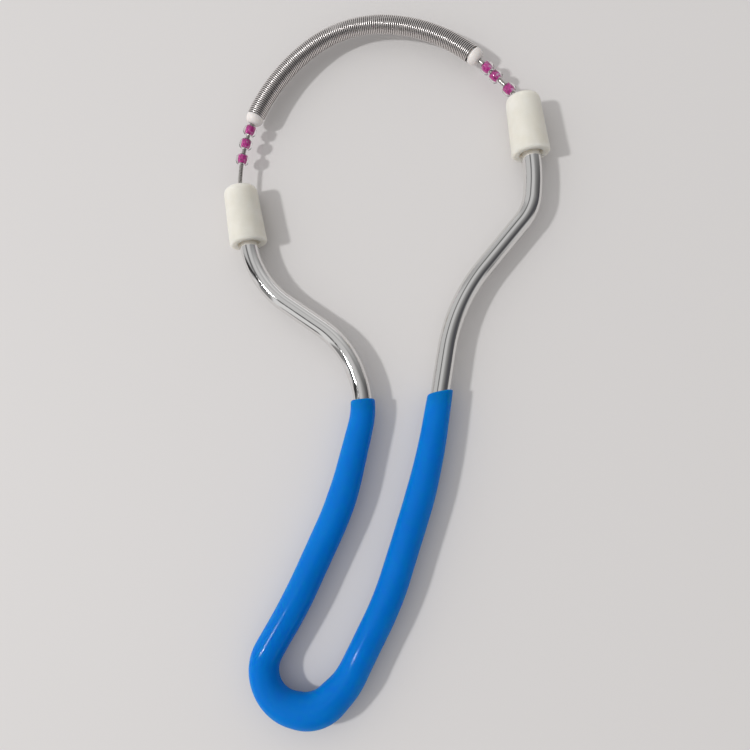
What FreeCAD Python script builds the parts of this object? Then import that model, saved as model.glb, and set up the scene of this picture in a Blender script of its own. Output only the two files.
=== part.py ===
import FreeCAD, Part
import math
import os

# Facial hair removal spring: a hand-bent bar with a vinyl grip on its U, two loose rollers on its
# ends, and a bowed core wire that carries glass beads and a close-wound coil between two end caps.
# The tool lies flat. +Y runs from the grip to the bow, +X to the right and +Z up from the surface
# that it lies on. Lengths are in millimetres and headings in degrees clockwise from +Y.

Vector = FreeCAD.Vector

# Bar: round stock bent in one plane
bar_diameter = 6.0
bar_in_roller = 13.5
bar_sides = 14
grip_bend_heading = 90.0

# Bends of each arm from the middle of the grip's U outwards: straight run, turn, bend radius
left_arm = [
    (0.5, 111.0, 11.5),
    (8.0, -5.5, 160.0),
    (16.5, -11.0, 100.0),
    (14.5, -33.5, 26.0),
    (2.0, -35.0, 31.0),
    (14.3, 44.5, 32.0),
]
right_arm = [
    (1.0, -55.0, 11.0),
    (3.5, -17.5, 24.0),
    (15.5, -9.0, 100.0),
    (18.0, -8.5, 200.0),
    (23.0, 30.5, 55.0),
    (18.9, -35.0, 16.0),
    (2.0, -11.5, 56.4),
]

# Grip: soft sleeve over the U, its middle off the U's middle towards the right arm. It is thick where
# it pooled in the bend and thin towards its cut ends
grip_length = 215.8
grip_offset = 3.1
grip_diameter = 9.3
grip_end_diameter = 7.7
grip_bend_diameter = 11.1
grip_end_taper = 32.0
grip_swell_length = 20.0
grip_swell_place = 6.0
grip_swell_stations = 8
right_cut_angle = 20.0

# Rollers: tapered cups that spin on the bar's straight ends
roller_length = 20.0
roller_mouth_diameter = 12.4
roller_top_diameter = 10.9
roller_top_rounding = 2.4
roller_mouth_rounding = 0.9
roller_end_wall = 2.0
roller_running_gap = 0.08
roller_counterbore_diameter = 7.5
roller_counterbore_depth = 5.0
roller_sides = 20
wire_hole_diameter = 5.0

# Core wire: bowed between the bar's ends, pressed into a blind hole in each
wire_diameter = 1.3
wire_sides = 8
wire_socket_depth = 9.0
wire_corner_radius = 4.0
left_corner_inset = 0.3
right_corner_inset = 2.0
left_exit_heading = -10.9
right_exit_heading = 128.3
bow_top_forward = 40.6
bow_top_across = 13.1
bow_top_heading = 86.6
left_bow_balance = 0.46
right_bow_balance = 0.38

# Coil: round spring wire wound close, so that its turns meet on the inside of the tightest arc.
# The half facet staggers the facets from turn to turn
coil_diameter = 6.1
coil_wire_diameter = 0.6
coil_turn_clearance = 0.015
coil_facets_per_turn = 7.5

# End caps: domed, with a spigot inside the coil
cap_diameter = 5.9
cap_length = 3.0
cap_tip_diameter = 2.1
cap_rim = 0.6
cap_dome_rings = 3
cap_sides = 18
cap_spigot_length = 1.5
cap_spigot_clearance = 0.25
cap_wire_clearance = 0.1

# Glass beads, and the gaps left on the wire from each cap outwards to the roller
bead_diameter = 4.3
bead_length = 3.6
bead_bore = 1.9
bead_shoulder = 0.8
bead_end_diameter = 3.2
bead_sides = 10
left_bead_gaps = [0.6, 1.3, 1.9]
right_bead_gaps = [2.0, 0.5, 2.8]
left_roller_gap = 8.1
right_roller_gap = 2.5

# Facets: largest turn of one facet along a bend, and how far a facet may cut a bend's corner
facet_turn = 12.0
facet_depth = 0.14
fillet_facets = 3
shortest_piece = 0.001
sewing_tolerance = 0.0001

# Heights, lengths and radii that follow from the sizes above
bar_radius = bar_diameter / 2
wire_radius = wire_diameter / 2
left_grip_length = grip_length / 2 - grip_offset
right_grip_length = grip_length / 2 + grip_offset
axis_height = roller_mouth_diameter / 2
coil_mean_radius = (coil_diameter - coil_wire_diameter) / 2
coil_inner_radius = coil_mean_radius - coil_wire_diameter / 2


def direction(heading):
    angle = math.radians(heading)
    return Vector(math.sin(angle), math.cos(angle), 0)


# A route is a list of pieces (start, heading, length, turn), each straight or one arc


def along(piece, distance):
    start, heading, length, turn = piece
    if turn == 0:
        return start + direction(heading) * distance, heading
    radius = length / math.radians(turn)
    reached = heading + turn * distance / length
    shift = direction(reached) - direction(heading)
    return start + Vector(-shift.y, shift.x, 0) * radius, reached


def piece_end(piece):
    return along(piece, piece[2])


def route_length(route):
    return sum(piece[2] for piece in route)


def at(route, distance):
    for piece in route:
        if distance <= piece[2]:
            return along(piece, distance)
        distance -= piece[2]
    last = route[-1]
    point, heading = piece_end(last)
    return point + direction(heading) * distance, heading


def stretch(route, begin, end):
    part = []
    passed = 0.0
    for piece in route:
        low = max(begin - passed, 0.0)
        high = min(end - passed, piece[2])
        if high - low > shortest_piece:
            point, heading = along(piece, low)
            part.append((point, heading, high - low, piece[3] * (high - low) / piece[2]))
        passed += piece[2]
    return part


def backwards(route):
    turned = []
    for piece in reversed(route):
        point, heading = piece_end(piece)
        turned.append((point, heading + 180, piece[2], -piece[3]))
    return turned


def bent(start, heading, bends):
    route = []
    for run, turn, radius in bends:
        route.append((start, heading, run, 0))
        start, heading = piece_end(route[-1])
        route.append((start, heading, abs(math.radians(turn)) * radius, turn))
        start, heading = piece_end(route[-1])
    return route


def arc_to(start, heading, end):
    chord = end - start
    half_turn = math.degrees(math.atan2(chord.x, chord.y)) - heading
    half_turn = (half_turn + 180) % 360 - 180
    half_angle = math.radians(half_turn)
    return (start, heading, chord.Length * half_angle / math.sin(half_angle), 2 * half_turn)


def two_arcs(start, start_heading, end, end_heading, balance):
    # The arcs meet where their tangent lengths, in the ratio of the balance, close on each other
    leave = direction(start_heading)
    arrive = direction(end_heading)
    chord = end - start
    a = 2 * balance * (leave.dot(arrive) - 1)
    b = -2 * (chord.dot(leave) + balance * chord.dot(arrive))
    c = chord.dot(chord)
    first = (-b - math.sqrt(b * b - 4 * a * c)) / (2 * a)
    second = balance * first
    near = start + leave * first
    far = end - arrive * second
    joint = near + (far - near) * (first / (first + second))
    opening = arc_to(start, start_heading, joint)
    return [opening, arc_to(joint, piece_end(opening)[1], end)]


# Distances along a route at which its facets meet: the ends of each piece, and more round its bends
def stations(route, extra=()):
    marks = [0.0]
    for start, heading, length, turn in route:
        parts = 1
        if turn != 0:
            radius = length / abs(math.radians(turn))
            widest = 2 * math.degrees(math.acos(1 - min(facet_depth / radius, 1)))
            parts = math.ceil(abs(turn) / min(facet_turn, widest))
        begin = marks[-1]
        marks += [begin + length * part / parts for part in range(1, parts + 1)]
    marks = sorted(marks + list(extra))
    kept = marks[:1]
    for mark in marks[1:]:
        if mark - kept[-1] > shortest_piece:
            kept.append(mark)
    return kept


# Corners of a round section across a route, on a plane square to it or slanted to it
def ring(point, heading, radius, sides, slant=0.0):
    ahead = direction(heading)
    across = direction(heading + 90)
    corners = []
    for side in range(sides):
        angle = 2 * math.pi * side / sides
        reach = radius * math.cos(angle)
        lift = Vector(0, 0, radius * math.sin(angle))
        lead = ahead * (reach * math.tan(math.radians(slant)))
        corners.append(point + across * reach + lift + lead)
    return corners


# A solid with flat facets through sections of equal count; it is a closed loop or has two flat ends
def skin(sections, looped=False):
    sides = len(sections[0])
    points = [corner for section in sections for corner in section]
    last = len(sections) - 1
    facets = []
    for index in range(last + looped):
        near = index * sides
        far = (index + 1) % len(sections) * sides
        for side in range(sides):
            beside = (side + 1) % sides
            facets.append((near + side, near + beside, far + beside))
            facets.append((near + side, far + beside, far + side))
    if not looped:
        for side in range(1, sides - 1):
            facets.append((0, side + 1, side))
            facets.append((last * sides, last * sides + side, last * sides + side + 1))
    surface = Part.Shape()
    surface.makeShapeFromMesh((points, facets), sewing_tolerance)
    solid = Part.Solid(surface)
    if solid.Volume < 0:
        solid.reverse()
    return solid


def rod(route, radius, sides, extra=()):
    sections = []
    for distance in stations(route, extra):
        point, heading = at(route, distance)
        sections.append(ring(point, heading, radius, sides))
    return skin(sections)


# A turned body about the local Z axis, through (radius, height) from its lower end to its upper end
def turned(outline, sides):
    sections = []
    for radius, height in outline:
        section = []
        for side in range(sides):
            angle = 2 * math.pi * side / sides
            section.append(Vector(radius * math.cos(angle), radius * math.sin(angle), height))
        sections.append(section)
    return skin(sections)


def bored(body, radius, low, high):
    return body.cut(Part.makeCylinder(radius, high - low, Vector(0, 0, low)))


# Points of a quarter round between two heights, from the wider radius to the narrower
def quarter_round(radius, height, inset, rise, facets):
    points = []
    for index in range(facets + 1):
        angle = math.radians(90) * index / facets
        points.append((radius - inset * (1 - math.cos(angle)), height + rise * math.sin(angle)))
    return points


def placed(shape, point, heading):
    # Local Z goes along the heading and local X points up
    up = Vector(0, 0, 1)
    ahead = direction(heading)
    moved = shape.copy()
    moved.Placement = FreeCAD.Placement(point, FreeCAD.Rotation(up, ahead.cross(up), ahead, "ZXY"))
    return moved


def bar_route():
    start = Vector(0, 0, axis_height)
    left = bent(start, grip_bend_heading - 180, left_arm)
    right = bent(start, grip_bend_heading, right_arm)
    for arm in (left, right):
        mouth, heading = piece_end(arm[-1])
        arm.append((mouth, heading, bar_in_roller, 0))
    return left, right


# Along the whole bar, counted from its left end, with the sleeve's ends among the stations
def grip_span(left):
    middle = route_length(left)
    return middle - left_grip_length, middle + right_grip_length


def make_bar(left, right):
    bar = rod(backwards(left) + right, bar_radius, bar_sides, grip_span(left))
    for arm in (left, right):
        mouth, heading = arm[-1][0], arm[-1][1]
        socket_floor = mouth + direction(heading) * (bar_in_roller - wire_socket_depth)
        socket = Part.makeCylinder(wire_radius, wire_socket_depth)
        bar = bar.cut(placed(socket, socket_floor, heading))
    return bar


# Radius of the grip, with the distance measured from the middle of the U, positive to the right
def grip_radius(distance):
    to_end = min(left_grip_length + distance, right_grip_length - distance)
    thin = 1 - min(max(to_end / grip_end_taper, 0), 1)
    swell = max(1 - abs(distance - grip_swell_place) / grip_swell_length, 0)
    ease = swell * swell * (3 - 2 * swell)
    body = grip_diameter - (grip_diameter - grip_end_diameter) * thin
    return (body + (grip_bend_diameter - grip_diameter) * ease) / 2


def make_grip(left, right):
    route = backwards(left) + right
    middle = route_length(left)
    begin, end = grip_span(left)
    swell = [
        grip_swell_place + grip_swell_length * (2 * index / grip_swell_stations - 1)
        for index in range(grip_swell_stations + 1)
    ]
    tapers = [grip_end_taper - left_grip_length, right_grip_length - grip_end_taper]
    inside = [mark for mark in stations(route, (begin, end)) if begin <= mark <= end]
    outside = stations(route, [begin, end] + [middle + place for place in swell + tapers])
    outside = [mark for mark in outside if begin <= mark <= end]
    sections = []
    for mark in outside + inside[::-1]:
        radius = bar_radius if len(sections) >= len(outside) else grip_radius(mark - middle)
        point, heading = at(route, mark)
        slant = right_cut_angle if mark == end else 0.0
        sections.append(ring(point, heading, radius, bar_sides, slant))
    return skin(sections, looped=True)


def make_roller():
    mouth = roller_mouth_diameter / 2
    top = roller_top_diameter / 2
    shoulder = roller_length - roller_top_rounding
    outline = [(mouth - roller_mouth_rounding, 0), (mouth, roller_mouth_rounding)]
    outline += quarter_round(top, shoulder, roller_top_rounding, roller_top_rounding, fillet_facets)
    cup = turned(outline, roller_sides)
    cup = bored(cup, wire_hole_diameter / 2, 0, roller_length)
    cup = bored(cup, bar_radius + roller_running_gap, 0, roller_length - roller_end_wall)
    return bored(cup, roller_counterbore_diameter / 2, 0, roller_counterbore_depth)


def make_cap():
    base = cap_diameter / 2
    tip = cap_tip_diameter / 2
    spigot = coil_inner_radius - cap_spigot_clearance
    outline = [(spigot, -cap_spigot_length), (spigot, 0), (base, 0)]
    outline += quarter_round(base, cap_rim, base - tip, cap_length - cap_rim, cap_dome_rings)
    cap = turned(outline, cap_sides)
    return bored(cap, wire_radius + cap_wire_clearance, -cap_spigot_length, cap_length)


def make_bead():
    half = bead_length / 2
    outer = bead_diameter / 2
    end = bead_end_diameter / 2
    shoulder = half - bead_shoulder
    bead = turned([(end, -half), (outer, -shoulder), (outer, shoulder), (end, half)], bead_sides)
    return bored(bead, bead_bore / 2, -half, half)


# A helix of spring wire round a bowed centreline, with a three-sided section, crest outwards
def make_coil(route):
    tightest = min(piece[2] / abs(math.radians(piece[3])) for piece in route)
    pitch = (coil_wire_diameter + coil_turn_clearance) / (1 - coil_mean_radius / tightest)
    length = route_length(route)
    half_wire = coil_wire_diameter / 2
    turns = math.floor((length - coil_wire_diameter) / pitch)
    steps = math.floor(turns * coil_facets_per_turn)
    corners = ((half_wire, 0), (-half_wire, -half_wire), (-half_wire, half_wire))
    sections = []
    for step in range(steps + 1):
        angle = 2 * math.pi * step / coil_facets_per_turn
        distance = half_wire + (length - coil_wire_diameter) * step / steps
        section = []
        for outwards, onwards in corners:
            centre, heading = at(route, distance + onwards)
            across = direction(heading + 90) * math.cos(angle)
            upwards = Vector(0, 0, math.sin(angle))
            section.append(centre + (across + upwards) * (coil_mean_radius + outwards))
        sections.append(section)
    return skin(sections)


def wire_route(left, right):
    ends = []
    for arm, exit_heading, inset in (
        (left, left_exit_heading, left_corner_inset),
        (right, right_exit_heading + 180, right_corner_inset),
    ):
        mouth, heading = arm[-1][0], arm[-1][1]
        turn = (exit_heading - heading + 180) % 360 - 180
        tangent = wire_corner_radius * math.tan(abs(math.radians(turn)) / 2)
        start = mouth + direction(heading) * (bar_in_roller - wire_socket_depth)
        run = roller_length - inset - tangent - bar_in_roller + wire_socket_depth
        ends.append(bent(start, heading, [(run, turn, wire_corner_radius)]))
    leave, left_heading = piece_end(ends[0][-1])
    arrive, right_heading = piece_end(ends[1][-1])
    chord = arrive - leave
    lean = math.degrees(math.atan2(chord.x, chord.y))
    forward = direction(lean - 90)
    top = leave + chord * 0.5 + forward * bow_top_forward + direction(lean) * bow_top_across
    bow = two_arcs(leave, left_heading, top, bow_top_heading, left_bow_balance)
    bow += two_arcs(top, bow_top_heading, arrive, right_heading + 180, right_bow_balance)
    return ends[0] + bow + backwards(ends[1])


def save(shapes):
    os.makedirs("parts", exist_ok=True)
    box = Part.makeCompound(list(shapes.values())).optimalBoundingBox(False, False)
    home = Vector(-(box.XMin + box.XMax) / 2, -(box.YMin + box.YMax) / 2, -box.ZMin)
    for name, shape in shapes.items():
        shape.translate(home)
        shape.exportStep(f"parts/{name}.step")
        print(name, "valid", shape.isValid(), "volume", round(shape.Volume, 2))
    print("size", round(box.XLength, 2), round(box.YLength, 2), round(box.ZLength, 2))
    return home


def main():
    left, right = bar_route()
    wire = wire_route(left, right)
    shapes = {"frame_bar": make_bar(left, right)}
    shapes["grip_sleeve"] = make_grip(left, right)
    shapes["core_wire"] = rod(wire, wire_radius, wire_sides)

    spins = []
    roller = make_roller()
    for side, arm in (("left", left), ("right", right)):
        mouth, heading = arm[-1][0], arm[-1][1]
        shapes[f"{side}_roller"] = placed(roller, mouth, heading)
        spins.append((f"{side}_roller", mouth, heading))

    # Stations on the wire are counted from each roller's face inwards
    face = wire_socket_depth + roller_length - bar_in_roller
    spots = {}
    for side, gaps, roller_gap in (
        ("left", left_bead_gaps, left_roller_gap),
        ("right", right_bead_gaps, right_roller_gap),
    ):
        place = face + roller_gap
        for number in (3, 2, 1):
            spots[f"{side}_bead_{number}"] = place + bead_length / 2
            place += bead_length + gaps[number - 1]
        spots[f"{side}_spring_cap"] = place + cap_length

    total = route_length(wire)
    bead = make_bead()
    cap = make_cap()
    for name, place in spots.items():
        side = name.split("_")[0]
        point, heading = at(wire, place if side == "left" else total - place)
        outwards = heading + 180 if side == "left" else heading
        if name.endswith("cap"):
            shapes[name] = placed(cap, point, outwards)
        else:
            shapes[name] = placed(bead, point, outwards)
            spins.append((name, point, outwards))
    coil_route = stretch(wire, spots["left_spring_cap"], total - spots["right_spring_cap"])
    shapes["coil_spring"] = make_coil(coil_route)

    home = save(shapes)
    for name, point, heading in spins:
        place = point + home
        axis = direction(heading)
        print("spin", name, [round(v, 3) for v in place], [round(v, 5) for v in axis])


main()
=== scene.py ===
import bpy
import bmesh
import math
from mathutils import Matrix, Vector, kdtree, noise


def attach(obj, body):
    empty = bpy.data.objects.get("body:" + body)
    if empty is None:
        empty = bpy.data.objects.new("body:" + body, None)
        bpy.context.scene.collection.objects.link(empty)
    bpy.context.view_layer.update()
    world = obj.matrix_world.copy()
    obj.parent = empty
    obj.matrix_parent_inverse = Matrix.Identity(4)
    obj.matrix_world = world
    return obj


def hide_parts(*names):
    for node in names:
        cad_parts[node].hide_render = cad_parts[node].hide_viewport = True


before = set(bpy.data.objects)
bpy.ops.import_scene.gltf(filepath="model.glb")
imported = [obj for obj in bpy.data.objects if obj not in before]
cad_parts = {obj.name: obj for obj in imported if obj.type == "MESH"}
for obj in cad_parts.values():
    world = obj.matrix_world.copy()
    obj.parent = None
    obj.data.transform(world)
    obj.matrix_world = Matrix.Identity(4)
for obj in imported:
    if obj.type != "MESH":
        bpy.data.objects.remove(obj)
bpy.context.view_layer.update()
print("frame loaded")

mm = 0.001         # sizes below are in millimetres unless a note says otherwise
root = "tool_frame"
axisHeight = 6.2   # every piece's centreline lies this far above the surface
sharpAngle = 50    # edges turned more than these degrees stay crisp


# Bar: its bends as (straight run, turn, bend radius), from the middle of the U outwards
bar = {
    "start": (0.6249, -109.6878),
    "diameter": 6.0,
    "leftArm": [
        (0.5, 111.0, 11.5), (8.0, -5.5, 160.0), (16.5, -11.0, 100.0),
        (14.5, -33.5, 26.0), (2.0, -35.0, 31.0), (14.3, 44.5, 32.0),
    ],
    "rightArm": [
        (1.0, -55.0, 11.0), (3.5, -17.5, 24.0), (15.5, -9.0, 100.0), (18.0, -8.5, 200.0),
        (23.0, 30.5, 55.0), (18.9, -35.0, 16.0), (2.0, -11.5, 56.4),
    ],
    "inRoller": 13.4,
    "step": 0.7,
    "sides": 48,
    "slot": "polished_bar",
}


def heading(degrees):
    angle = math.radians(degrees)
    return Vector((math.sin(angle), math.cos(angle), 0.0))


def walk(pieces, step):
    # Stations (point, heading, distance) along pieces of (x, y, heading, length, turn)
    stations = []
    travelled = 0.0
    for x, y, start, length, turn in pieces:
        count = max(2, round(length / step))
        for index in range(count):
            part = length * index / count
            if turn == 0:
                point = Vector((x, y, axisHeight)) + heading(start) * part
                reached = start
            else:
                radius = length / math.radians(turn)
                reached = start + turn * index / count
                shift = heading(reached) - heading(start)
                point = Vector((x, y, axisHeight)) + Vector((-shift.y, shift.x, 0)) * radius
            stations.append((point, reached, travelled + part))
        travelled += length
    return stations


def routeOf(start, startHeading, bends, lastRun):
    # The pieces that walk() takes, from a schedule of bends, and where they end
    pieces = []
    point = Vector((start[0], start[1], 0))
    facing = startHeading
    for run, turn, radius in bends:
        pieces.append((point.x, point.y, facing, run, 0))
        point = point + heading(facing) * run
        arc = abs(math.radians(turn)) * radius
        pieces.append((point.x, point.y, facing, arc, turn))
        shift = heading(facing + turn) - heading(facing)
        point = point + Vector((-shift.y, shift.x, 0)) * (arc / math.radians(turn))
        facing += turn
    pieces.append((point.x, point.y, facing, lastRun, 0))
    return pieces, point + heading(facing) * lastRun


def sweep(name, points, radius, sides):
    # A round tube along the points, as a mesh, with capped ends
    line = bpy.data.curves.new(name + "Line", "CURVE")
    line.dimensions = "3D"
    line.bevel_mode = "ROUND"
    line.bevel_depth = mm
    line.bevel_resolution = (sides - 4) // 2   # a bevel of resolution 0 has four sides
    line.use_fill_caps = True
    spline = line.splines.new("POLY")
    spline.points.add(len(points) - 1)
    for knot, point in zip(spline.points, points):
        knot.co = (point.x * mm, point.y * mm, point.z * mm, 1.0)
        knot.radius = radius
    carrier = bpy.data.objects.new(name + "Line", line)
    bpy.context.scene.collection.objects.link(carrier)
    bpy.context.view_layer.update()
    depsgraph = bpy.context.evaluated_depsgraph_get()
    mesh = bpy.data.meshes.new_from_object(carrier.evaluated_get(depsgraph))
    bpy.data.objects.remove(carrier)
    bpy.data.curves.remove(line)
    mesh.name = name
    return mesh


def addPiece(name, mesh, material, body, replaced=()):
    for face in mesh.polygons:
        face.use_smooth = True
    mesh.set_sharp_from_angle(angle=math.radians(sharpAngle))
    mesh.materials.clear()
    mesh.materials.append(material)
    piece = bpy.data.objects.new(name, mesh)
    bpy.context.scene.collection.objects.link(piece)
    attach(piece, body)
    if replaced:
        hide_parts(*replaced)
    return piece


def newMaterial(name):
    material = bpy.data.materials.new(name)
    material.use_nodes = True
    tree = material.node_tree
    shader = tree.nodes["Principled BSDF"]
    return material, tree, shader


def addNode(tree, kind, inputs=None, **settings):
    node = tree.nodes.new(kind)
    for key, value in settings.items():
        setattr(node, key, value)
    for key, value in (inputs or {}).items():
        node.inputs[key].default_value = value
    return node


def objectNoise(tree, scale, detail=3.0, roughness=0.5):
    place = addNode(tree, "ShaderNodeTexCoord")
    grain = addNode(tree, "ShaderNodeTexNoise", {"Scale": scale, "Detail": detail, "Roughness": roughness})
    tree.links.new(place.outputs["Object"], grain.inputs["Vector"])
    return grain.outputs["Fac"]


def blendColours(tree, factor, stops):
    # Stops are (position, colour), lowest first
    ramp = addNode(tree, "ShaderNodeValToRGB")
    ramp.color_ramp.elements[0].position = stops[0][0]
    ramp.color_ramp.elements[0].color = (*stops[0][1], 1)
    ramp.color_ramp.elements[1].position = stops[-1][0]
    ramp.color_ramp.elements[1].color = (*stops[-1][1], 1)
    for position, colour in stops[1:-1]:
        ramp.color_ramp.elements.new(position).color = (*colour, 1)
    tree.links.new(factor, ramp.inputs["Fac"])
    return ramp.outputs["Color"]


def spread(tree, value, low, high, newLow, newHigh):
    # Stretches low to high over newLow to newHigh, and holds it between them
    node = addNode(tree, "ShaderNodeMapRange", {
        "From Min": low, "From Max": high, "To Min": newLow, "To Max": newHigh,
    })
    tree.links.new(value, node.inputs["Value"])
    return node.outputs["Result"]


def bumpFrom(tree, shader, height, strength, distance):
    bump = addNode(tree, "ShaderNodeBump", {"Strength": strength, "Distance": distance})
    tree.links.new(height, bump.inputs["Height"])
    tree.links.new(bump.outputs["Normal"], shader.inputs["Normal"])


def glowThrough(shader, weight, reach):
    # Light that spreads under the surface; reach is in metres for red, green and blue
    shader.inputs["Subsurface Weight"].default_value = weight
    shader.inputs["Subsurface Radius"].default_value = reach
    shader.inputs["Subsurface Scale"].default_value = 1.0


# Bright bar; bumps are in metres
barFinish = {
    "colour": (0.8, 0.79, 0.78),
    "roughness": (0.03, 0.1),
    "grain": 900.0,
    "waves": 160.0,
    "bump": 0.000012,
}

barMaterial, tree, shader = newMaterial("barBrightSteel")
shader.inputs["Base Color"].default_value = (*barFinish["colour"], 1)
shader.inputs["Metallic"].default_value = 1.0
grain = objectNoise(tree, barFinish["grain"], 4.0)
tree.links.new(spread(tree, grain, 0.35, 0.7, *barFinish["roughness"]), shader.inputs["Roughness"])
waves = objectNoise(tree, barFinish["waves"], 2.0)
bumpFrom(tree, shader, waves, 0.5, barFinish["bump"])

leftRoute, leftEnd = routeOf(bar["start"], -90.0, bar["leftArm"], bar["inRoller"])
rightRoute, rightEnd = routeOf(bar["start"], 90.0, bar["rightArm"], bar["inRoller"])
leftStations = walk(leftRoute, bar["step"])
rightStations = walk(rightRoute, bar["step"])
barPoints = [leftEnd + Vector((0, 0, axisHeight))]
barPoints += [station[0] for station in reversed(leftStations)]
barPoints += [station[0] for station in rightStations[1:]]
barPoints.append(rightEnd + Vector((0, 0, axisHeight)))
barMesh = sweep("bentBar", barPoints, bar["diameter"] / 2, bar["sides"])
addPiece("bentBar", barMesh, barMaterial, root, ["frame_bar"])
print("bar done")


# Grip: dipped vinyl sleeve over the U, thick where it pooled in the bend. Places and lengths along it
# run from the middle of the U, positive to the right
grip = {
    "leftLength": 104.8,
    "rightLength": 111.0,
    "diameter": 9.3,
    "endDiameter": 7.7,
    "bendDiameter": 11.1,
    "endTaper": 32.0,
    "swellLength": 20.0,
    "swellPlace": 6.0,
    "cutAngle": 20.0,
    "cutBlend": 6.0,
    "rimRounding": 0.6,
    "rimSteps": 5,
    "bore": 6.06,
    "lipDepth": 3.0,
    "ripple": 0.05,
    "ripplesPerMm": 0.09,
    "step": 0.7,
    "sides": 64,
    "slot": "blue_vinyl",
}
gripFinish = {
    "colour": (0.001, 0.175, 0.56),
    "deepColour": (0.001, 0.155, 0.52),
    "roughness": 0.5,
    "specular": 0.02,
    "coat": 0.14,
    "coatRoughness": 0.05,
    "glow": 0.8,
    "glowReach": (0.0003, 0.0004, 0.006),
    "tint": 60.0,
    "skin": 420.0,
    "bump": 0.00005,
}


def gripRadius(distance):
    toEnd = min(grip["leftLength"] + distance, grip["rightLength"] - distance)
    thin = 1 - min(max(toEnd / grip["endTaper"], 0), 1)
    swell = max(1 - abs(distance - grip["swellPlace"]) / grip["swellLength"], 0)
    ease = swell * swell * (3 - 2 * swell)
    body = grip["diameter"] - (grip["diameter"] - grip["endDiameter"]) * thin
    wave = noise.noise(Vector((distance * grip["ripplesPerMm"], 3.1, 0.0)))
    ripple = grip["ripple"] * (wave - 1)   # never outwards
    return (body + (grip["bendDiameter"] - grip["diameter"]) * ease) / 2 + ripple


def stationAt(stations, distance):
    for before, after in zip(stations[:-1], stations[1:]):
        if before[2] <= distance <= after[2]:
            part = (distance - before[2]) / (after[2] - before[2])
            return before[0].lerp(after[0], part), before[1] + (after[1] - before[1]) * part
    return stations[-1][0], stations[-1][1]


def alongGrip(distance):
    if distance < 0:
        point, facing = stationAt(leftStations, -distance)
        return point, facing + 180
    return stationAt(rightStations, distance)


def rimSections(end, inwards):
    # From the lining inside the sleeve, round its rim, to the outside
    outer = gripRadius(end)
    rounding = grip["rimRounding"]
    sections = [(end + inwards * grip["lipDepth"], grip["bore"] / 2), (end, grip["bore"] / 2)]
    for index in range(grip["rimSteps"] + 1):
        angle = math.radians(90) * index / grip["rimSteps"]
        radius = outer - rounding + rounding * math.sin(angle)
        sections.append((end + inwards * rounding * (1 - math.cos(angle)), radius))
    return sections


gripMaterial, tree, shader = newMaterial("gripDippedVinyl")
shader.inputs["Roughness"].default_value = gripFinish["roughness"]
shader.inputs["Specular IOR Level"].default_value = gripFinish["specular"]
shader.inputs["Coat Weight"].default_value = gripFinish["coat"]
shader.inputs["Coat Roughness"].default_value = gripFinish["coatRoughness"]
glowThrough(shader, gripFinish["glow"], gripFinish["glowReach"])
tint = objectNoise(tree, gripFinish["tint"], 3.0)
tree.links.new(
    blendColours(tree, tint, [(0.3, gripFinish["deepColour"]), (0.7, gripFinish["colour"])]),
    shader.inputs["Base Color"],
)
bumpFrom(tree, shader, objectNoise(tree, gripFinish["skin"], 4.0, 0.55), 0.25, gripFinish["bump"])

gripStart, gripEnd = -grip["leftLength"], grip["rightLength"]
bodySteps = round((gripEnd - gripStart) / grip["step"])
inset = 2 * grip["rimRounding"]
sections = rimSections(gripStart, 1)
for index in range(bodySteps + 1):
    distance = gripStart + inset + (gripEnd - gripStart - 2 * inset) * index / bodySteps
    sections.append((distance, gripRadius(distance)))
sections += rimSections(gripEnd, -1)[::-1]

work = bmesh.new()
around = work.verts.layers.float.new("around")
bmesh.ops.create_circle(work, cap_ends=False, segments=grip["sides"], radius=mm)
for vert in work.verts:
    vert[around] = math.atan2(vert.co.y, vert.co.x)
ringVerts, ringEdges = list(work.verts), list(work.edges)
for index, (distance, radius) in enumerate(sections):
    if index:
        grown = bmesh.ops.extrude_edge_only(work, edges=ringEdges)["geom"]
        ringVerts = [item for item in grown if isinstance(item, bmesh.types.BMVert)]
        fresh = set(ringVerts)
        ringEdges = [
            item for item in grown
            if isinstance(item, bmesh.types.BMEdge) and item.verts[0] in fresh and item.verts[1] in fresh
        ]
    point, facing = alongGrip(distance)
    blend = min(max((distance - gripEnd + grip["cutBlend"]) / (grip["cutBlend"] - inset), 0), 1)
    slant = math.tan(math.radians(grip["cutAngle"])) * blend * blend * (3 - 2 * blend)
    for vert in ringVerts:
        reach = radius * math.cos(vert[around])
        lift = Vector((0, 0, radius * math.sin(vert[around])))
        vert.co = (point + heading(facing + 90) * reach + lift + heading(facing) * reach * slant) * mm
bmesh.ops.recalc_face_normals(work, faces=work.faces)
gripMesh = bpy.data.meshes.new("vinylGrip")
work.to_mesh(gripMesh)
work.free()
addPiece("vinylGrip", gripMesh, gripMaterial, root, ["grip_sleeve"])
print("grip done")


# Core wire and the coil on it: pieces are (x, y, heading, length, turn), and caps and beads sit at
# distances along the wire, each side's from its own end
bow = {
    "pieces": [
        (-42.225, 35.034, -19.5, 14.899, 0), (-47.199, 49.079, -19.5, 0.6, 8.6),
        (-47.356, 49.657, -10.9, 55.824, 54.787), (-32.104, 101.169, 43.887, 26.532, 42.713),
        (-8.564, 112.024, 86.6, 39.514, 44.102), (27.957, 99.696, 130.702, 15.801, -2.402),
        (40.148, 89.646, 128.3, 2.492, 35.7), (41.514, 87.61, 164.0, 12.212, 0),
    ],
    "length": 167.875,
    "wireDiameter": 1.3,
    "wireSides": 16,
    "wireStep": 0.5,
    "coilDiameter": 6.1,
    "coilWire": 0.6,
    "coilClearance": 0.015,
    "tightestRadius": 35.59,   # the turns meet on the inside of this arc
    "coilStep": 0.1,
    "stepsPerTurn": 28,
    "coilWireSides": 12,
    "leftCap": 41.2,
    "rightCap": 37.1,
    "leftBeads": [35.8, 30.9, 25.4],
    "rightBeads": [30.3, 26.2, 19.8],
}
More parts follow.
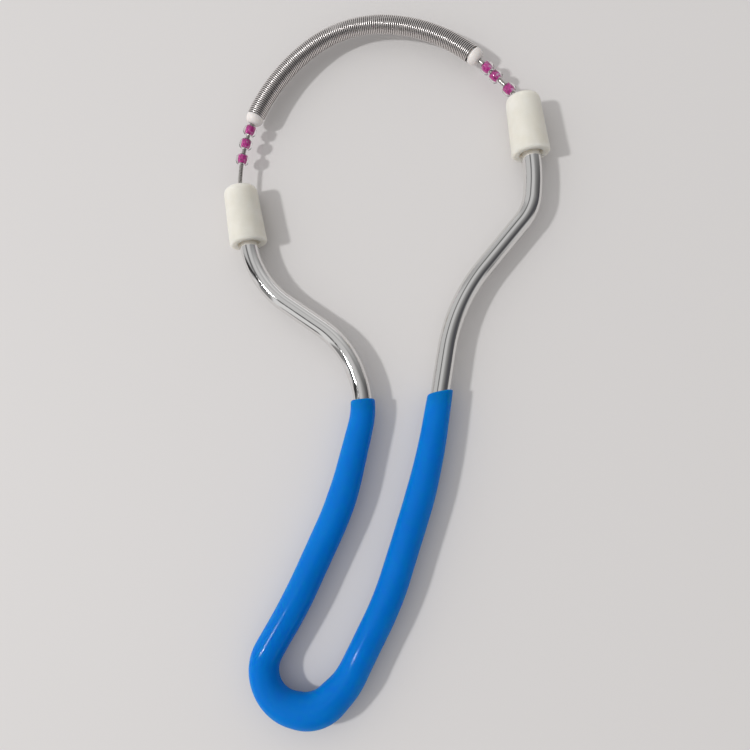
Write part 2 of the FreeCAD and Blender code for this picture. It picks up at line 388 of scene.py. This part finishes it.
wireFinish = {"colour": (0.42, 0.4, 0.38), "roughness": (0.2, 0.42), "grain": 1500.0, "bump": 0.00001}
# The coil's dark colour is painted shade: it darkens the steel in the hollows between the turns
coilFinish = {
    "colour": (0.87, 0.82, 0.8),
    "grooveShade": (0.1, 0.085, 0.08),
    "grooveShadeSpan": (0.5, 0.94),
    "roughness": (0.28, 0.34),
    "grain": 700.0,
    "bump": 0.00001,
    "film": 1.0,
    "filmRoughness": 0.05,
}


def metalMaterial(name, finish):
    material, tree, shader = newMaterial(name)
    shader.inputs["Base Color"].default_value = (*finish["colour"], 1)
    shader.inputs["Metallic"].default_value = 1.0
    grain = objectNoise(tree, finish["grain"], 4.0)
    tree.links.new(spread(tree, grain, 0.3, 0.7, *finish["roughness"]), shader.inputs["Roughness"])
    bumpFrom(tree, shader, grain, 0.4, finish["bump"])
    return material, tree, shader


wireMaterial, tree, shader = metalMaterial("coreDrawnWire", wireFinish)
coilMaterial, tree, shader = metalMaterial("coilSpringSteel", coilFinish)
shader.inputs["Coat Weight"].default_value = coilFinish["film"]
shader.inputs["Coat Roughness"].default_value = coilFinish["filmRoughness"]
# Painted shade: the base colour goes from the steel colour at the crests to the dark shade colour down
# between the turns
ridgeHeight = addNode(tree, "ShaderNodeAttribute", attribute_name="ridge")
shadeLow, shadeHigh = coilFinish["grooveShadeSpan"]
tree.links.new(
    blendColours(
        tree, ridgeHeight.outputs["Fac"],
        [(shadeLow, coilFinish["grooveShade"]), (shadeHigh, coilFinish["colour"])],
    ),
    shader.inputs["Base Color"],
)

bowStations = walk(bow["pieces"], bow["wireStep"])
wirePoints = [station[0] for station in bowStations]
wireMesh = sweep("coreWire", wirePoints, bow["wireDiameter"] / 2, bow["wireSides"])
addPiece("coreWire", wireMesh, wireMaterial, root, ["core_wire"])

coilLength = bow["length"] - bow["leftCap"] - bow["rightCap"]
meanRadius = (bow["coilDiameter"] - bow["coilWire"]) / 2
pitch = (bow["coilWire"] + bow["coilClearance"]) / (1 - meanRadius / bow["tightestRadius"])
turns = math.floor((coilLength - bow["coilWire"]) / pitch)
helix = []
centres = []
steps = turns * bow["stepsPerTurn"]
fineStations = walk(bow["pieces"], bow["coilStep"])
cursor = 0
for index in range(steps + 1):
    distance = bow["leftCap"] + bow["coilWire"] / 2 + (coilLength - bow["coilWire"]) * index / steps
    while fineStations[cursor + 1][2] < distance:
        cursor += 1
    before, after = fineStations[cursor], fineStations[cursor + 1]
    part = (distance - before[2]) / (after[2] - before[2])
    centre = before[0].lerp(after[0], part)
    across = heading(before[1] + (after[1] - before[1]) * part + 90)
    angle = 2 * math.pi * index / bow["stepsPerTurn"]
    centres.append(centre)
    helix.append(centre + (across * math.cos(angle) + Vector((0, 0, math.sin(angle)))) * meanRadius)
coilMesh = sweep("closeCoil", helix, bow["coilWire"] / 2, bow["coilWireSides"])

# How far out of the grooves each point of the coil stands, 0 to 1 at the crest; this sets the painted
# shade that darkens the colour down into the hollows between the turns
spine = kdtree.KDTree(len(centres))
for index, centre in enumerate(centres):
    spine.insert(centre, index)
spine.balance()
ridge = coilMesh.attributes.new("ridge", "FLOAT", "POINT")
for index, vert in enumerate(coilMesh.vertices):
    ridge.data[index].value = (spine.find(vert.co / mm)[2] - meanRadius) / (bow["coilWire"] / 2)
addPiece("closeCoil", coilMesh, coilMaterial, root, ["coil_spring"])
print("wire and coil done, turns", turns)


def spun(outline, sides):
    # A closed half section of (radius, height) points, spun about its axis
    work = bmesh.new()
    ring = [work.verts.new((radius * mm, 0, height * mm)) for radius, height in outline]
    edges = [work.edges.new((ring[i - 1], ring[i])) for i in range(len(ring))]
    bmesh.ops.spin(
        work, geom=ring + edges, cent=(0, 0, 0), axis=(0, 0, 1),
        angle=2 * math.pi, steps=sides, use_merge=True,
    )
    bmesh.ops.remove_doubles(work, verts=work.verts, dist=1e-7)
    bmesh.ops.recalc_face_normals(work, faces=work.faces)
    return work


def laid(work, name, point, facing):
    # Lays a spun shape in its place: its axis goes along the heading and its X points up
    ahead = heading(facing)
    up = Vector((0, 0, 1))
    turn = Matrix((up, ahead.cross(up), ahead)).transposed().to_4x4()
    move = Matrix.Translation(point * mm)
    bmesh.ops.transform(work, matrix=move @ turn, verts=work.verts)
    mesh = bpy.data.meshes.new(name)
    work.to_mesh(mesh)
    work.free()
    return mesh


filletParts = (0, 0.2, 0.4, 0.6, 0.8, 1.0)


def rounded(corners):
    # Replaces each corner, given as (radius, height, rounding), by a few points of its fillet
    outline = []
    count = len(corners)
    for index, (radius, height, size) in enumerate(corners):
        here = Vector((radius, height))
        if size == 0:
            outline.append((radius, height))
            continue
        before = Vector(corners[index - 1][:2]) - here
        after = Vector(corners[(index + 1) % count][:2]) - here
        start = here + before.normalized() * size
        end = here + after.normalized() * size
        for part in filletParts:
            first = start.lerp(here, part)
            second = here.lerp(end, part)
            outline.append(tuple(first.lerp(second, part)))
    return outline


# Rollers: moulded cups, tapered towards the wire
roller = {
    "length": 20.0,
    "mouthDiameter": 12.4,
    "topDiameter": 10.9,
    "topRounding": 2.4,
    "mouthRounding": 0.9,
    "boreDiameter": 6.16,
    "flareDiameter": 7.5,
    "flareDepth": 5.0,
    "endWall": 2.0,
    "wireHole": 5.0,
    "edgeRounding": 0.3,
    "sides": 96,
    "slot": "ivory_plastic",
}
rollerFinish = {
    "colour": (0.67, 0.64, 0.56),
    "paleColour": (0.72, 0.695, 0.63),
    "roughness": (0.5, 0.65),
    "mottle": 180.0,
    "pits": 900.0,
    "bump": 0.00008,
    "glow": 1.0,
    "glowReach": (0.007, 0.0065, 0.006),
}

rollerMaterial, tree, shader = newMaterial("rollerIvoryPlastic")
mottle = objectNoise(tree, rollerFinish["mottle"], 5.0, 0.6)
tree.links.new(
    blendColours(tree, mottle, [(0.3, rollerFinish["colour"]), (0.7, rollerFinish["paleColour"])]),
    shader.inputs["Base Color"],
)
tree.links.new(spread(tree, mottle, 0.3, 0.7, *rollerFinish["roughness"]), shader.inputs["Roughness"])
glowThrough(shader, rollerFinish["glow"], rollerFinish["glowReach"])
bumpFrom(tree, shader, objectNoise(tree, rollerFinish["pits"], 5.0, 0.6), 0.5, rollerFinish["bump"])

boreEnd = roller["length"] - roller["endWall"]
rollerOutline = rounded([
    (roller["flareDiameter"] / 2, 0, roller["edgeRounding"]),
    (roller["mouthDiameter"] / 2, 0, roller["mouthRounding"]),
    (roller["topDiameter"] / 2, roller["length"], roller["topRounding"]),
    (roller["wireHole"] / 2, roller["length"], roller["edgeRounding"]),
    (roller["wireHole"] / 2, boreEnd, 0),
    (roller["boreDiameter"] / 2, boreEnd, 0),
    (roller["boreDiameter"] / 2, roller["flareDepth"], 0),
])
for side, route in (("left", leftRoute), ("right", rightRoute)):
    x, y, facing = route[-1][:3]
    cup = spun(rollerOutline, roller["sides"])
    mesh = laid(cup, side + "RollerCup", Vector((x, y, axisHeight)), facing)
    addPiece(side + "RollerCup", mesh, rollerMaterial, side + "_roller", [side + "_roller"])
print("rollers done")


# End caps of the coil
cap = {
    "diameter": 5.9,
    "length": 3.0,
    "tipDiameter": 2.1,
    "rim": 0.6,
    "rimBevel": 0.15,
    "domeSteps": 8,
    "spigotLength": 1.5,
    "spigotDiameter": 4.4,
    "bore": 1.5,
    "sides": 64,
    "slot": "cap_plastic",
}
capFinish = {
    "colour": (0.77, 0.73, 0.71),
    "roughness": (0.35, 0.5),
    "grain": 1200.0,
    "bump": 0.00004,
    "glow": 0.5,
    "glowReach": (0.002, 0.0018, 0.0016),
}

capMaterial, tree, shader = newMaterial("capWhitePlastic")
shader.inputs["Base Color"].default_value = (*capFinish["colour"], 1)
glowThrough(shader, capFinish["glow"], capFinish["glowReach"])
grain = objectNoise(tree, capFinish["grain"], 3.0)
tree.links.new(spread(tree, grain, 0.3, 0.7, *capFinish["roughness"]), shader.inputs["Roughness"])
bumpFrom(tree, shader, grain, 0.3, capFinish["bump"])

capRadius, tipRadius, spigotRadius = cap["diameter"] / 2, cap["tipDiameter"] / 2, cap["spigotDiameter"] / 2
dome = []
for index in range(cap["domeSteps"] + 1):
    angle = index / cap["domeSteps"] * math.pi / 2
    radius = tipRadius + (capRadius - tipRadius) * math.cos(angle)
    dome.append((radius, cap["rim"] + (cap["length"] - cap["rim"]) * math.sin(angle)))
capOutline = [
    (cap["bore"] / 2, -cap["spigotLength"]), (spigotRadius, -cap["spigotLength"]), (spigotRadius, 0),
    (capRadius - cap["rimBevel"], 0), (capRadius, cap["rimBevel"]),
] + dome + [(cap["bore"] / 2, cap["length"])]
for side, station in (("left", bow["leftCap"]), ("right", bow["length"] - bow["rightCap"])):
    point, facing = stationAt(bowStations, station)
    outwards = facing + 180 if side == "left" else facing
    mesh = laid(spun(capOutline, cap["sides"]), side + "EndCap", point, outwards)
    addPiece(side + "EndCap", mesh, capMaterial, root, [side + "_spring_cap"])
print("caps done")


# Glass beads with a coloured lining
bead = {
    "diameter": 4.3,
    "length": 3.6,
    "bore": 1.9,
    "rounding": 1.6,
    "boreRounding": 0.25,
    "bare": 0.62,              # length without lining at each end
    "liningThickness": 0.11,
    "liningOverlap": 0.01,     # the lining reaches this far into the glass, so no air shows between
    "liningSwell": 0.06,
    "liningSteps": 8,
    "sides": 40,
    "slot": "lined_glass",
}
glassFinish = {
    "colour": (0.97, 0.95, 0.96),
    "roughness": 0.03,
    "bending": 1.51,
    "waves": 900.0,
    "bump": 0.00006,
}
# The lining's tone varies at random from dark to bright; its palest pink-white patches are painted glints
liningFinish = {
    "dark": (0.36, 0.005, 0.17),
    "colour": (0.82, 0.02, 0.42),
    "paintedGlint": (0.98, 0.5, 0.82),
    "tint": 900.0,
    "roughness": 0.12,
    "specular": 1.0,
}

glassMaterial, tree, shader = newMaterial("beadClearGlass")
shader.inputs["Base Color"].default_value = (*glassFinish["colour"], 1)
shader.inputs["Transmission Weight"].default_value = 1.0
shader.inputs["Roughness"].default_value = glassFinish["roughness"]
shader.inputs["IOR"].default_value = glassFinish["bending"]
bumpFrom(tree, shader, objectNoise(tree, glassFinish["waves"], 2.0), 0.25, glassFinish["bump"])

liningMaterial, tree, shader = newMaterial("beadMagentaLining")
# Random patches of lining tone, the palest of them painted glints
tree.links.new(
    blendColours(tree, objectNoise(tree, liningFinish["tint"], 3.0), [
        (0.36, liningFinish["dark"]), (0.44, liningFinish["colour"]),
        (0.56, liningFinish["colour"]), (0.64, liningFinish["paintedGlint"]),
    ]),
    shader.inputs["Base Color"],
)
shader.inputs["Roughness"].default_value = liningFinish["roughness"]
shader.inputs["Specular IOR Level"].default_value = liningFinish["specular"]

halfLength, outerRadius, boreRadius = bead["length"] / 2, bead["diameter"] / 2, bead["bore"] / 2
glassOutline = rounded([
    (boreRadius, -halfLength, bead["boreRounding"]), (outerRadius, -halfLength, bead["rounding"]),
    (outerRadius, halfLength, bead["rounding"]), (boreRadius, halfLength, bead["boreRounding"]),
])
liningReach = halfLength - bead["bare"]
liningOuter = boreRadius + bead["liningOverlap"]
liningInner = liningOuter - bead["liningThickness"]
liningOutline = [(liningInner, -liningReach)]
for index in range(bead["liningSteps"] + 1):
    along = 2 * index / bead["liningSteps"] - 1
    liningOutline.append((liningOuter + bead["liningSwell"] * (1 - along * along), along * liningReach))
liningOutline.append((liningInner, liningReach))

for side, stations in (("left", bow["leftBeads"]), ("right", bow["rightBeads"])):
    for number, station in enumerate(stations, 1):
        distance = station if side == "left" else bow["length"] - station
        point, facing = stationAt(bowStations, distance)
        node = f"{side}_bead_{number}"
        glassName, liningName = f"{side}Bead{number}Glass", f"{side}Bead{number}Lining"
        glass = laid(spun(glassOutline, bead["sides"]), glassName, point, facing)
        addPiece(glassName, glass, glassMaterial, node, [node])
        lining = laid(spun(liningOutline, bead["sides"]), liningName, point, facing)
        addPiece(liningName, lining, liningMaterial, node)
print("beads done")


# Camera, at the photograph's angle: nearly straight down
view = {
    "target": (7.8249, -6.0878, 6.2),
    "distance": 233.1,
    "tiltDown": 8.0,
    "tiltRight": 7.0,
    "turn": 9.3,
    "lens": 35.52,
    "sensor": 36.0,
    "nearest": 5.0,
}
leanRight = math.tan(math.radians(view["tiltRight"]))
leanDown = math.tan(math.radians(view["tiltDown"]))
turnRound = Matrix.Rotation(math.radians(view["turn"]), 3, "Z")
back = turnRound @ Vector((leanRight, -leanDown, 1)).normalized()
sideways = (turnRound @ Vector((0, 1, 0))).cross(back).normalized()
upward = back.cross(sideways)
cameraData = bpy.data.cameras.new("viewCamera")
cameraData.lens = view["lens"]
cameraData.sensor_width = view["sensor"]
cameraData.clip_start = view["nearest"] * mm
camera = bpy.data.objects.new("viewCamera", cameraData)
facingDown = Matrix((sideways, upward, back)).transposed().to_4x4()
cameraPlace = (Vector(view["target"]) + back * view["distance"]) * mm
camera.matrix_world = Matrix.Translation(cameraPlace) @ facingDown
bpy.context.scene.collection.objects.link(camera)
bpy.context.scene.camera = camera


# Floor, its size in metres
floor = {"size": 6.0, "colour": (0.66, 0.643, 0.636), "roughness": 0.6, "specular": 0.2}
work = bmesh.new()
bmesh.ops.create_grid(work, x_segments=1, y_segments=1, size=floor["size"] / 2)
floorMesh = bpy.data.meshes.new("floor")
work.to_mesh(floorMesh)
work.free()
floorMaterial, tree, shader = newMaterial("floorPale")
shader.inputs["Base Color"].default_value = (*floor["colour"], 1)
shader.inputs["Roughness"].default_value = floor["roughness"]
shader.inputs["Specular IOR Level"].default_value = floor["specular"]
floorMesh.materials.append(floorMaterial)
floorObject = bpy.data.objects.new("floor", floorMesh)
bpy.context.scene.collection.objects.link(floorObject)


# Lamp: its place is (right, up, height) as the camera sees it, in metres
lamp = {"place": (-1.22, -0.11, 1.5), "power": 15.4, "size": 0.16}
light = bpy.data.lights.new("key", "AREA")
light.shape = "DISK"
light.size = lamp["size"]
light.energy = lamp["power"]
holder = bpy.data.objects.new("key", light)
middle = Vector(view["target"]) * mm
holder.location = middle + turnRound @ Vector(lamp["place"])
holder.rotation_euler = (holder.location - middle).to_track_quat("Z", "Y").to_euler()
bpy.context.scene.collection.objects.link(holder)


# Room: an even light, and for mirror-like surfaces two sets of bands that cross, as windows and walls
# do. Bands are (place from one side of the room to the other, brightness or colour)
room = {
    "light": 0.69,
    "slope": 0.45,
    "tint": (1, 0.99, 0.985),
    "bandTurn": 35.0,
    "bands": [
        (0.0, 0.62), (0.17, 0.62), (0.2, 0.2), (0.26, 0.2), (0.285, 0.66), (0.45, 0.66), (0.54, 0.44),
        (0.64, 0.29), (0.74, 0.175), (0.82, (0.1, 0.1, 0.11)), (0.89, (0.08, 0.08, 0.09)),
        (0.93, 0.14), (0.965, 0.6), (1.0, 0.75),
    ],
    "crossTurn": -75.5,
    "crossBands": [
        (0.0, 1.0), (0.05, 1.0), (0.07, 0.1), (0.105, 0.1), (0.13, 1.15), (0.29, 1.2), (0.34, 0.06),
        (0.385, 0.06), (0.43, 0.9), (0.64, 0.95), (0.7, 0.95), (0.74, 0.72), (0.79, 0.75), (0.84, 1.05),
        (0.9, 1.05), (0.94, 0.75), (0.97, 0.8), (0.985, 1.3), (1.0, 1.3),
    ],
}
world = bpy.data.worlds.new("room")
world.use_nodes = True
bpy.context.scene.world = world
tree = world.node_tree
tree.nodes.clear()
output = addNode(tree, "ShaderNodeOutputWorld")
plain = addNode(tree, "ShaderNodeBackground", {"Color": (*room["tint"], 1)})
seen = addNode(tree, "ShaderNodeBackground", {"Strength": 1.0})
coordinates = addNode(tree, "ShaderNodeTexCoord")


def acrossRoom(degrees, start, end):
    # Runs from start on the left to end on the right, the right turned down by these degrees
    turned = addNode(tree, "ShaderNodeMapping", {"Rotation": (0, 0, math.radians(degrees - view["turn"]))})
    tree.links.new(coordinates.outputs["Generated"], turned.inputs["Vector"])
    split = addNode(tree, "ShaderNodeSeparateXYZ")
    tree.links.new(turned.outputs["Vector"], split.inputs["Vector"])
    return spread(tree, split.outputs["X"], -1, 1, start, end)


def bandsAcross(degrees, bands):
    stops = [(place, tone if isinstance(tone, tuple) else (tone,) * 3) for place, tone in bands]
    return blendColours(tree, acrossRoom(degrees, 0, 1), stops)


brightSide, dimSide = room["light"] * (1 + room["slope"]), room["light"] * (1 - room["slope"])
tree.links.new(acrossRoom(room["bandTurn"], brightSide, dimSide), plain.inputs["Strength"])
both = addNode(tree, "ShaderNodeMix", {0: 1.0}, data_type="RGBA", blend_type="MULTIPLY")
tree.links.new(bandsAcross(room["bandTurn"], room["bands"]), both.inputs[6])         # its colour A
tree.links.new(bandsAcross(room["crossTurn"], room["crossBands"]), both.inputs[7])   # its colour B
tree.links.new(both.outputs[2], seen.inputs["Color"])
path = addNode(tree, "ShaderNodeLightPath")
choose = addNode(tree, "ShaderNodeMixShader")
tree.links.new(path.outputs["Is Glossy Ray"], choose.inputs["Fac"])
tree.links.new(plain.outputs["Background"], choose.inputs[1])
tree.links.new(seen.outputs["Background"], choose.inputs[2])
tree.links.new(choose.outputs["Shader"], output.inputs["Surface"])
bpy.context.scene.view_settings.view_transform = "Standard"
print("stage done")
